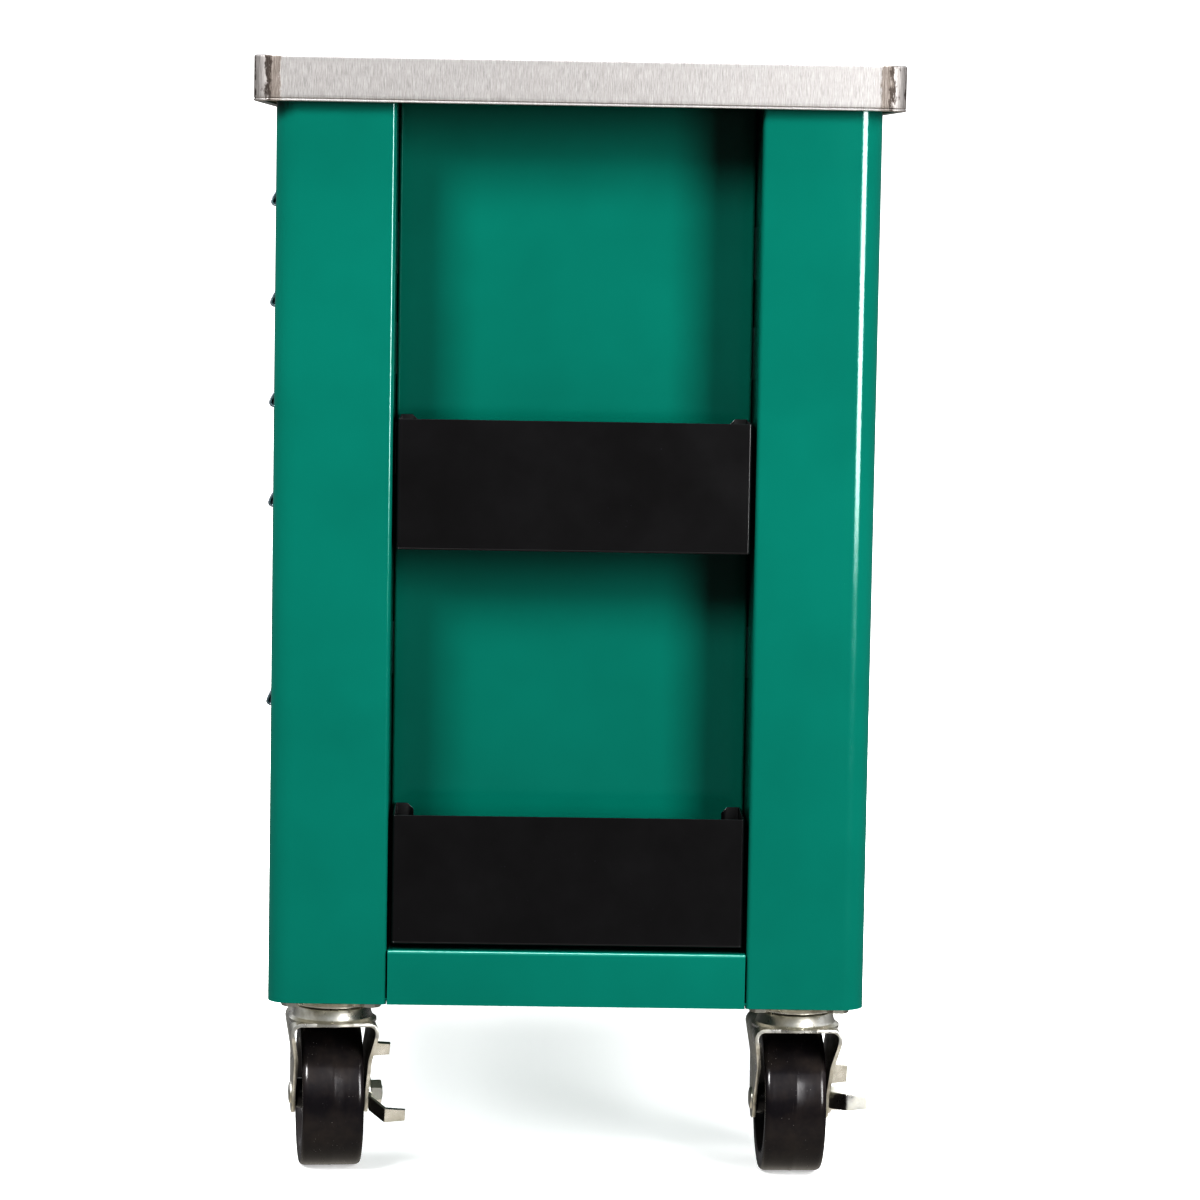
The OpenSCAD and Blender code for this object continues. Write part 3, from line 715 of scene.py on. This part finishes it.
def build_bins():
    """Bent sheet bins, open at the top, with chamfered ears against the panel behind them."""
    for level in ("upper", "lower"):
        (x0, y0, z0), (x1, y1, z1) = corners(f"bin_{level}_right")
        ear, chamfer, thick = 16.0, 5.0, 1.2
        mid = (y0 + y1) / 2

        def rim(point, half=(y1 - y0) / 2):
            inward = half - ear - abs(point.y - mid)
            return z1 - chamfer if point.x < x0 + 1 and inward > -0.1 else z1

        path = [(x0, y0 + ear), (x0, y0 + ear - chamfer), (x0, y0), (x1, y0), (x1, y1), (x0, y1),
                (x0, y1 - ear + chamfer), (x0, y1 - ear)]
        walls = folded_sheet(f"bin_{level}_walls", path, [0, 0, 2, 2.5, 2.5, 2, 0, 0], thick, "z",
                             z0 + 1.6, rim, "black_sheet", bevel=0.35, parts=3)
        base = prism(f"bin_{level}_base", rounded_rect((x0, y0), (x1, y1), 2.4, 6), "z", z0, z0 + 2.2,
                     "black_sheet", bevel=0.9)
        whole = merge(f"bin_{level}_right_folded", [walls, base])
        put(mirrored(whole, f"bin_{level}_left_folded"), "cabinet", "black_sheet", f"bin_{level}_left")
        put(whole, "cabinet", "black_sheet", f"bin_{level}_right")


def build_bin_rivets():
    """Domed rivet heads, four to a bin, set into the end panels."""
    panel_x = corners("side_panel_right")[1][0]
    profile = [(0, 3.0), (2.0, 2.9), (3.6, 2.4), (4.4, 1.7), (4.5, 1.2), (2.4, 1.1), (2.4, -2.5), (0, -2.5)]
    heads = []
    for level in ("upper", "lower"):
        (_, y0, z0), (_, y1, z1) = corners(f"bin_{level}_right")
        for y in (y0 + 8, y1 - 8):
            for z in (z0 + 24, z1 - 24):
                head = lathe(f"rivet_{len(heads)}", profile, "zinc_plate", steps=28)
                head.data.transform(Matrix.Rotation(math.radians(90), 4, "Y"))
                head.data.transform(Matrix.Translation(Vector((panel_x, y, z)) * MM))
                heads.append(head)
    one_end = merge("bin_rivets_right", heads)
    both = merge("bin_rivet_heads", [mirrored(one_end, "bin_rivets_left"), one_end])
    put(both, "cabinet", "zinc_plate", "bin_rivets")


# ---------------------------------------------------------------- drawers and pulls

GRIP_DEPTH, GRIP_HEIGHT, GRIP_SLOPE, CAP = 12.0, 34.0, 8.0, 2.2
PAN_DEPTH, DRAWER_SHEET = 20.0, 1.2
SLIDE_ROOM, TRAY_LIFT, TRAY_DROP = 9.2, 6.0, 10.0


def build_drawer(number):
    """Drawer: a front folded with a grip recess at its top, closed at both ends, and a tray behind it."""
    node = f"drawer_{number}"
    (x0, y0, z0), (x1, y1, z1) = corners(node)
    top = corners(f"pull_{number}")[1][2]
    back = y0 + PAN_DEPTH
    step = top - GRIP_HEIGHT
    section = [(back, z1), (y0 + GRIP_DEPTH, z1), (y0 + GRIP_DEPTH, step + GRIP_SLOPE), (y0, step), (y0, z0),
               (back, z0)]
    radii = [0, 1.5, 3, 3, 2.5, 0]
    skin = folded_sheet(f"{node}_front", section, radii, DRAWER_SHEET, "x", x0, x1, "green_paint", parts=8)
    outline = rounded_path(section, [0.3, 1.5, 3, 3, 2.5, 0.3], True)
    cheeks = [prism(f"{node}_cheek_{end}", outline, "x", end, end + DRAWER_SHEET, "green_paint")
              for end in (x0, x1 - DRAWER_SHEET)]
    tray_x = corners(f"drawer_slide_{number}")[1][0] - SLIDE_ROOM
    plate = prism(f"{node}_plate", [(back - DRAWER_SHEET, z0 + 0.3), (back, z0 + 0.3), (back, z1 - 0.3),
                                    (back - DRAWER_SHEET, z1 - 0.3)], "x", -tray_x, tray_x, "green_paint")
    low, high = z0 + TRAY_LIFT, z1 + CAP - TRAY_DROP
    tray = [(-tray_x, back - 1), (tray_x, back - 1), (tray_x, y1), (-tray_x, y1)]
    walls = folded_sheet(f"{node}_walls", tray, [2, 2, 2, 2], DRAWER_SHEET, "z", low, high, "green_paint",
                         closed=True, parts=2, bevel=0.4)
    base = prism(f"{node}_floor", rounded_rect((-tray_x + 0.5, back - 0.5), (tray_x - 0.5, y1 - 0.5), 2, 5),
                 "z", low, low + DRAWER_SHEET, "green_paint")
    whole = merge(f"{node}_folded", [skin, *cheeks, plate, walls, base])
    put(whole, node, "green_paint", node)


def build_pull(number):
    """Drawn pull: a lip that sweeps down over the recess and curls in, and a plate in the recess."""
    node = f"pull_{number}"
    (x0, y0, z0), (x1, y1, z1) = corners(node)
    face = corners(f"drawer_{number}")[0][1]
    curl, curl_r, sweep = Vector((5.8, -12.8)), 4.2, math.radians(70)
    outline = [Vector((-PAN_DEPTH, 0))]
    for k in range(12):
        t = k / 12
        outline.append(Vector((1.5 + 8.5 * math.sin(sweep * t) / math.sin(sweep), curl.y * t ** 1.4)))
    for k in range(19):
        a = -math.pi * 1.05 * k / 18
        outline.append(curl + curl_r * Vector((math.cos(a), math.sin(a))))
    path = [(face - p.x, z1 + p.y) for p in outline]
    lip = folded_sheet(f"{node}_lip", path, 0, CAP, "x", x0, x1, "anodised_pull", parts=4, bevel=0)
    rounding = lip.modifiers.new("edges", "BEVEL")
    rounding.width = 0.6 * MM
    rounding.segments = 3
    rounding.limit_method = "ANGLE"
    rounding.angle_limit = math.radians(60)
    bake_modifiers(lip)
    soften(lip)
    plate_y = face + GRIP_DEPTH
    plate = prism(f"{node}_plate", rounded_rect((plate_y - 1.8, z1 - 24), (plate_y, z1 - 1), 0.5, 3),
                  "x", x0, x1, "anodised_pull", bevel=0)
    put(merge(f"{node}_drawn", [lip, plate]), f"drawer_{number}", "anodised_pull", node)


# ---------------------------------------------------------------- casters

AXLE_R, LEG_OUT, LEG_IN = 6.0, 33.0, 29.8
CROWN_HALF, CROWN_TOP = 39.0, 136.5
TRAIL = 38.0
PLATE_HALF = Vector((57.5, 50.0))
PLATE_T = 3.0
BOLT_SPOTS = [(dx, dy) for dx in (-42, 42) for dy in (-33, 33)]

# Side of the chest, yaw of the fork and tilt of the brake pedal, in degrees
SWIVELS = {"front": (-1, 6.0, 0.0), "rear": (1, 2.0, 28.0)}


def caster_centre():
    """X and Y of the rear right caster's kingpin."""
    (x0, y0, _), (x1, y1, _) = corners("kingpins")
    return (x0 + x1) / 2, y1 - 11


def wheel_height():
    """Height of the axles, which is also the wheels' radius."""
    (_, _, z0), (_, _, z1) = corners("wheel_rigid_front")
    return (z0 + z1) / 2


def at_swivel(face):
    """Placement of a swivel caster's moving parts, drawn about the kingpin with the wheel towards -X."""
    side, yaw, _ = SWIVELS[face]
    x, y = caster_centre()
    return Matrix.Translation(Vector((x, side * y, 0)) * MM) @ Matrix.Rotation(math.radians(yaw), 4, "Z")


def place(piece, matrix):
    """Moves the piece's mesh and gives the piece back."""
    piece.data.transform(matrix)
    return piece


def plate_with_holes(name, centre, body_z):
    """Caster plate under the body, with a hole for each of its bolts."""
    x, y = centre
    plate = prism(name, rounded_rect(-PLATE_HALF, PLATE_HALF, 8), "z", body_z, body_z + PLATE_T,
                  "zinc_plate", bevel=0)
    hole_r, low, high = 5.5, body_z - 3, body_z + 6
    for dx, dy in BOLT_SPOTS:
        carve(plate, lathe("hole", [(0, low), (hole_r, low), (hole_r, high), (0, high)], "zinc_plate",
                           (dx, dy, 0), steps=32))
    soften(plate, 0.5)
    return place(plate, Matrix.Translation(Vector((x, y, 0)) * MM))


def build_caster_plates():
    """Plates of the swivel casters, each pressed down into the fixed half of the raceway."""
    body_z = corners("post_front_right")[0][2]
    x, y = caster_centre()
    pieces = []
    for side in (-1, 1):
        pieces.append(plate_with_holes(f"plate_{side}", (x, side * y), body_z))
        profile = [(19.5, body_z + 0.5), (19.0, body_z - 1), (19.0, 155.6), (19.4, 154.4), (20.6, 153.8),
                   (26, 153.4), (31, 152.9), *fillet(32.4, 151.4, 1.6, 80, 5)[::-1], (34, 150.6),
                   *[(32.6 + 1.4 * math.cos(a), 150.2 + 1.4 * math.sin(a))
                     for a in (math.radians(-18 * k) for k in range(1, 6))],
                   (29, 148.6), (12, 149.2), (0, 149.2)]
        pieces.append(lathe(f"race_{side}", profile, "zinc_plate", (x, side * y, 0), steps=96))
    put(merge("caster_plates_pressed", pieces), "cabinet", "zinc_plate", "caster_plates")


def build_caster_bolts():
    """Four bolts and nuts through each of the four plates."""
    body_z = corners("post_front_right")[0][2]
    x, y = caster_centre()
    flat = 7.97
    shank = [(0, body_z - 3), (5, body_z - 3), (5, body_z + 10.9), (4.2, body_z + 11.6), (0, body_z + 11.6)]
    pieces = []
    for sx in (-1, 1):
        for sy in (-1, 1):
            for dx, dy in BOLT_SPOTS:
                x_at, y_at = sx * x + dx, sy * y + dy
                tag = len(pieces)
                pieces += [
                    hexagon(f"bolt_{tag}", flat, 6.2, "zinc_plate", (x_at, y_at, body_z - 6.4), steps=36),
                    hexagon(f"nut_{tag}", flat, 6.0, "zinc_plate", (x_at, y_at, body_z + 5), steps=36),
                    lathe(f"shank_{tag}", shank, "zinc_plate", (x_at, y_at, 0), steps=28),
                ]
    put(merge("caster_bolts_hexagonal", pieces), "cabinet", "zinc_plate", "caster_bolts")


def build_kingpins():
    """Riveted pins on which the two forks turn."""
    x, y = caster_centre()
    top = corners("kingpins")[1][2]
    pieces = []
    for side in (-1, 1):
        profile = [(0, 126.8), (5, 126.9), (8.5, 127.6), (10.4, 129), (11, 131), (11, 132.7), (6, 132.7),
                   (6, top - 0.4), (5.6, top), (0, top)]
        pieces.append(lathe(f"kingpin_{side}", profile, "zinc_plate", (x, side * y, 0), steps=48))
    put(merge("kingpins_riveted", pieces), "cabinet", "zinc_plate", "kingpins")


def fork_shell(name, top, front, back, axle_x, ring_hole):
    """Pressed fork: a bent strip trimmed to its outline as seen from the side."""
    axle_z = wheel_height()
    foot, knee, foot_r = axle_z - 18, top - 37, 17.0
    strip = folded_sheet(name, [(LEG_OUT, foot), (LEG_OUT, knee), (CROWN_HALF, top), (-CROWN_HALF, top),
                                (-LEG_OUT, knee), (-LEG_OUT, foot)], [0, 30, 9, 9, 30, 0], LEG_OUT - LEG_IN,
                         "x", back - 1, front + 1, "zinc_plate", bevel=0)
    side = rounded_path([(front, top + 2), (front, top - 15), (axle_x + foot_r, axle_z + 2),
                         (axle_x + foot_r, axle_z - foot_r), (axle_x - foot_r, axle_z - foot_r),
                         (axle_x - foot_r, axle_z + 6), (back, top - 15), (back, top + 2)],
                        [0, 8, 12, 16, 16, 12, 8, 0], True)
    carve(strip, prism("outline", side, "y", -60, 60, "zinc_plate", 0, False), "INTERSECT")
    hole = [(0, -50), (AXLE_R + 0.15, -50), (AXLE_R + 0.15, 50), (0, 50)]
    carve(strip, lathe("hole", hole, "zinc_plate", (axle_x, 0, axle_z), "y", 48))
    if ring_hole:
        kingpin_hole = [(0, 100), (AXLE_R + 0.2, 100), (AXLE_R + 0.2, 160), (0, 160)]
        carve(strip, lathe("hole", kingpin_hole, "zinc_plate", steps=48))
    soften(strip, 0.7, 3)
    return strip


def axle_pieces(tag, reach):
    """Round-headed bolt through a fork along Y, its nut reach past the leg on the +Y side."""
    start, nut = -LEG_OUT, LEG_OUT + reach
    bolt = [(0, start - 2.2), (6.5, start - 2.1), (8.6, start - 1.6), (9.4, start - 0.9), (9.5, start),
            (AXLE_R, start), (AXLE_R, nut + 9.4), (AXLE_R - 0.8, nut + 10), (0, nut + 10)]
    return [lathe(f"bolt_{tag}", bolt, "zinc_plate", axis="y", steps=48),
            hexagon(f"nut_{tag}", 9.09, 9, "zinc_plate", (0, nut, 0), "y")]


def wheel(name):
    """Moulded wheel about the origin: crowned tread with a faint mould line, dished webs and a long hub."""
    radius, half, hub = wheel_height(), 26.0, 29.3
    tread = [(radius - 3.35 + 3.2 * math.sin(a), -half + 5.5 - 5.5 * math.cos(a))
             for a in (math.radians(10 * k) for k in range(10))]
    side = [(AXLE_R + 0.1, -hub), (11.6, -hub), (12.6, -hub + 0.8), (13.0, -hub + 2), (14.2, -15.5),
            (16, -13.2), (19, -12.4), (38, -11.6), (42, -12.4), (44.2, -14.6), (46.4, -23.8), (47.6, -25.5),
            (49.2, -half), *tread, (radius - 0.15, -half + 8)]
    line = [(radius - 0.15, -1.6), (radius, -0.9), (radius, -0.3)]
    outline = side + line + [(r, -h) for r, h in (side + line)[::-1]]
    return lathe(name, outline, "wheel_plastic", axis="y", steps=160, closed=True)


def pedal(name):
    """Brake pedal about the origin: a washer on the axle with two bent arms, each with a tab for the foot."""
    low, thick = LEG_OUT + 0.3, 2.5
    washer = [(AXLE_R + 0.1, low), (12.6, low), (13, low + 0.4), (13, low + thick - 0.4), (12.6, low + thick),
              (AXLE_R + 0.1, low + thick)]
    pieces = [lathe(f"{name}_washer", washer, "zinc_plate", axis="y", steps=64, closed=True)]
    for angle, length, flare, tab_half in ((-22, 37, 12, 7.5), (135, 46, 3.5, 10)):
        path = [(9, low), (18, low), (length, low + flare), (length, low + flare + 18)]

        def half_width(point):
            """The arm widens into its tab, whose outer corners are cut back."""
            outward = point.y - low - flare
            return 7.0 if outward < 2 else (tab_half - 2 if outward > 17 else tab_half)

        arm = folded_sheet(f"{name}_arm_{angle}", path, [0, 5, 3.2, 0], thick, "z",
                           lambda p: -half_width(p), half_width, "zinc_plate", bevel=0.5)
        pieces.append(place(arm, Matrix.Rotation(math.radians(-angle), 4, "Y")))
    return merge(name, pieces)


def build_swivel_caster(face):
    """Fork with its half of the raceway, axle, wheel and brake pedal of one swivel caster."""
    side, _, lift = SWIVELS[face]
    at = at_swivel(face)
    hub = at @ Matrix.Translation(Vector((-TRAIL, 0, wheel_height())) * MM)
    shell = fork_shell(f"fork_{face}_shell", CROWN_TOP, 34, -TRAIL - 20, -TRAIL, True)
    dome = [(13, 135), (13.6, 142), (15, 146), (18, 147.8), (24, 148.1), (29, 147.8), (31, 146.8),
            (32.2, 144.6), (33.2, 140.6), (34.2, 138.4), (36, 137.2), (37.4, 136.2), (37.4, 134)]
    ring = lathe(f"fork_{face}_ring", dome, "zinc_plate", steps=96)
    fork = merge(f"fork_{face}_pressed", [shell, ring])
    put(place(fork, at), f"fork_{face}", "zinc_plate", f"fork_{face}")
    axle = merge(f"axle_{face}_bolt", axle_pieces(face, 3.1))
    put(place(axle, hub), f"fork_{face}", "zinc_plate", f"axle_{face}")
    put(place(wheel(f"wheel_swivel_{face}_moulded"), hub), f"wheel_swivel_{face}", "wheel_plastic",
        f"wheel_swivel_{face}")
    rocked = hub @ Matrix.Rotation(math.radians(-lift), 4, "Y")
    put(place(pedal(f"pedal_{face}_bent"), rocked), f"pedal_{face}", "zinc_plate", f"pedal_{face}")


def build_rigid_casters():
    """Plates, fixed forks, axles and wheels of the two casters at the left end."""
    body_z = corners("post_front_right")[0][2]
    x, y = caster_centre()
    forks, axles = [], []
    for side, face in ((-1, "front"), (1, "rear")):
        at = Matrix.Translation(Vector((-x, side * y, 0)) * MM)
        forks.append(plate_with_holes(f"rigid_plate_{face}", (-x, side * y), body_z))
        forks.append(place(fork_shell(f"rigid_shell_{face}", body_z + 0.5, 32, -32, 0, False), at))
        hub = at @ Matrix.Translation((0, 0, wheel_height() * MM))
        axles += [place(piece, hub) for piece in axle_pieces(f"rigid_{face}", 0.2)]
        put(place(wheel(f"wheel_rigid_{face}_moulded"), hub), f"wheel_rigid_{face}", "wheel_plastic",
            f"wheel_rigid_{face}")
    put(merge("rigid_forks_pressed", forks), "cabinet", "zinc_plate", "rigid_forks")
    put(merge("rigid_axle_bolts", axles), "cabinet", "zinc_plate", "rigid_axles")


build_posts()
build_ends()
build_back_and_front()
build_worktop()
build_bins()
build_bin_rivets()
for number in range(1, 6):
    build_drawer(number)
    build_pull(number)
build_caster_plates()
build_caster_bolts()
build_kingpins()
for face in SWIVELS:
    build_swivel_caster(face)
build_rigid_casters()


# ---------------------------------------------------------------- CAD nodes that stay

EDGE_ROUND = 0.0003
WELD_WITHIN = 0.00002
SLOT_OF = {part["node"]: part["material_slot"] for part in frame["record"]["subparts"]}


def finish_cad_nodes():
    """Gives each CAD node that stays its look, with merged corners and its sharp edges slightly rounded."""
    for name, piece in frame["nodes"].items():
        piece.data.materials.clear()
        piece.data.materials.append(LOOKS[SLOT_OF[name]])
        if name in replaced:
            continue
        weld = piece.modifiers.new("weld", "WELD")
        weld.merge_threshold = WELD_WITHIN
        rounding = piece.modifiers.new("edges", "BEVEL")
        rounding.width = EDGE_ROUND
        rounding.segments = 2
        rounding.limit_method = "ANGLE"
        rounding.angle_limit = BEVEL_OVER


finish_cad_nodes()


# ---------------------------------------------------------------- stage, light and camera

def aim(piece, target):
    """Turns a lamp to face a point."""
    piece.rotation_euler = (Vector(target) - piece.location).to_track_quat("-Z", "Y").to_euler()


def softbox(name, azimuth, elevation, distance, width, height, watts, target=(0.44, 0.0, 0.55)):
    """Area light seen from the target at an azimuth from +X towards +Y, hidden from the camera."""
    az, el = math.radians(azimuth), math.radians(elevation)
    light = bpy.data.lights.new(name, "AREA")
    light.shape = "RECTANGLE"
    light.size, light.size_y = width, height
    light.energy = watts
    made = bpy.data.objects.new(name, light)
    bpy.context.scene.collection.objects.link(made)
    reach = Vector((math.cos(el) * math.cos(az), math.cos(el) * math.sin(az), math.sin(el)))
    made.location = Vector(target) + reach * distance
    aim(made, target)
    made.visible_camera = False
    return made


def background(tree, color, strength):
    """Output of a new background shader."""
    made = tree.nodes.new("ShaderNodeBackground")
    made.inputs["Color"].default_value = (*color, 1)
    made.inputs["Strength"].default_value = strength
    return made.outputs[0]


def studio():
    """White behind the chest, a dim room, softboxes and a top light.

    The room that the chest mirrors is lighter overhead and, as a pale floor would be, underfoot."""
    scene = bpy.context.scene
    world = bpy.data.worlds.new("studio")
    scene.world = world
    world.use_nodes = True
    tree = world.node_tree
    tree.nodes.remove(tree.nodes["Background"])
    room = background(tree, (0.95, 0.97, 1.0), 0.07)
    direction = tree.nodes.new("ShaderNodeTexCoord")
    split = tree.nodes.new("ShaderNodeSeparateXYZ")
    tree.links.new(direction.outputs["Generated"], split.inputs[0])

    def by_height(color, levels):
        """Light whose strength goes from the third of the levels to the fourth as a direction's Z goes
        from the first to the second."""
        shine = background(tree, color, 0.0)
        glow = tree.nodes.new("ShaderNodeMapRange")
        for key, value in zip(("From Min", "From Max", "To Min", "To Max"), levels):
            glow.inputs[key].default_value = value
        tree.links.new(split.outputs["Z"], glow.inputs["Value"])
        tree.links.new(glow.outputs["Result"], shine.node.inputs["Strength"])
        return shine

    above_and_below = tree.nodes.new("ShaderNodeAddShader")
    tree.links.new(by_height((0.97, 0.98, 1.0), (0.08, 0.5, 0.13, 0.8)), above_and_below.inputs[0])
    tree.links.new(by_height((1.0, 0.93, 0.82), (-0.25, -0.6, 0.02, 0.4)), above_and_below.inputs[1])
    mirrored_room = above_and_below.outputs[0]
    white = background(tree, (1, 1, 1), 1.0)
    path = tree.nodes.new("ShaderNodeLightPath")
    lit = room
    for ray, seen in (("Is Glossy Ray", mirrored_room), ("Is Camera Ray", white)):
        choose = tree.nodes.new("ShaderNodeMixShader")
        tree.links.new(path.outputs[ray], choose.inputs["Fac"])
        tree.links.new(lit, choose.inputs[1])
        tree.links.new(seen, choose.inputs[2])
        lit = choose.outputs[0]
    tree.links.new(lit, tree.nodes["World Output"].inputs["Surface"])

    softbox("key_right", 34.5, 12, 3.5, 1.15, 2.0, 81)
    softbox("key_left", -32.7, 34, 3.7, 1.1, 1.1, 75)
    for azimuth in (100, 180, -100):
        softbox(f"fill_{azimuth}", azimuth, 25, 3.7, 2.4, 1.6, 60).visible_glossy = False
    overhead = bpy.data.lights.new("overhead", "SUN")
    overhead.energy = 2.6
    overhead.angle = math.radians(30)
    top = bpy.data.objects.new("overhead", overhead)
    scene.collection.objects.link(top)
    scene.view_settings.view_transform = "Standard"
    scene.view_settings.look = "Very High Contrast"


FLOOR_HALF = 12


def floor():
    """Floor that shows and takes shadows, but throws no light on the chest and is not mirrored in it."""
    bm = bmesh.new()
    bmesh.ops.create_grid(bm, x_segments=8, y_segments=8, size=1)
    mesh = bpy.data.meshes.new("floor")
    bm.to_mesh(mesh)
    bm.free()
    mesh.materials.append(floor_paint())
    made = bpy.data.objects.new("floor", mesh)
    made.scale = (FLOOR_HALF, FLOOR_HALF, 1)
    bpy.context.scene.collection.objects.link(made)
    made.visible_diffuse = False
    made.visible_glossy = False


def photo_camera():
    """Long lens, a little above the middle and almost square on to the right end."""
    yaw, pitch, roll = math.radians(1.272), math.radians(5.528), math.radians(0.984)
    forward = Vector((-math.cos(yaw) * math.cos(pitch), math.sin(yaw) * math.cos(pitch), -math.sin(pitch)))
    level = forward.cross(Vector((0, 0, 1))).normalized()
    upright = level.cross(forward)
    across = math.cos(roll) * level + math.sin(roll) * upright
    up = -math.sin(roll) * level + math.cos(roll) * upright
    lens = bpy.data.cameras.new("camera")
    lens.sensor_width = 36
    lens.lens = 132.33
    camera = bpy.data.objects.new("camera", lens)
    bpy.context.scene.collection.objects.link(camera)
    turn = Matrix((across, up, -forward)).transposed().to_4x4()
    camera.matrix_world = Matrix.Translation((4.1753, -0.05825, 0.8577)) @ turn
    bpy.context.scene.camera = camera


floor()
studio()
photo_camera()
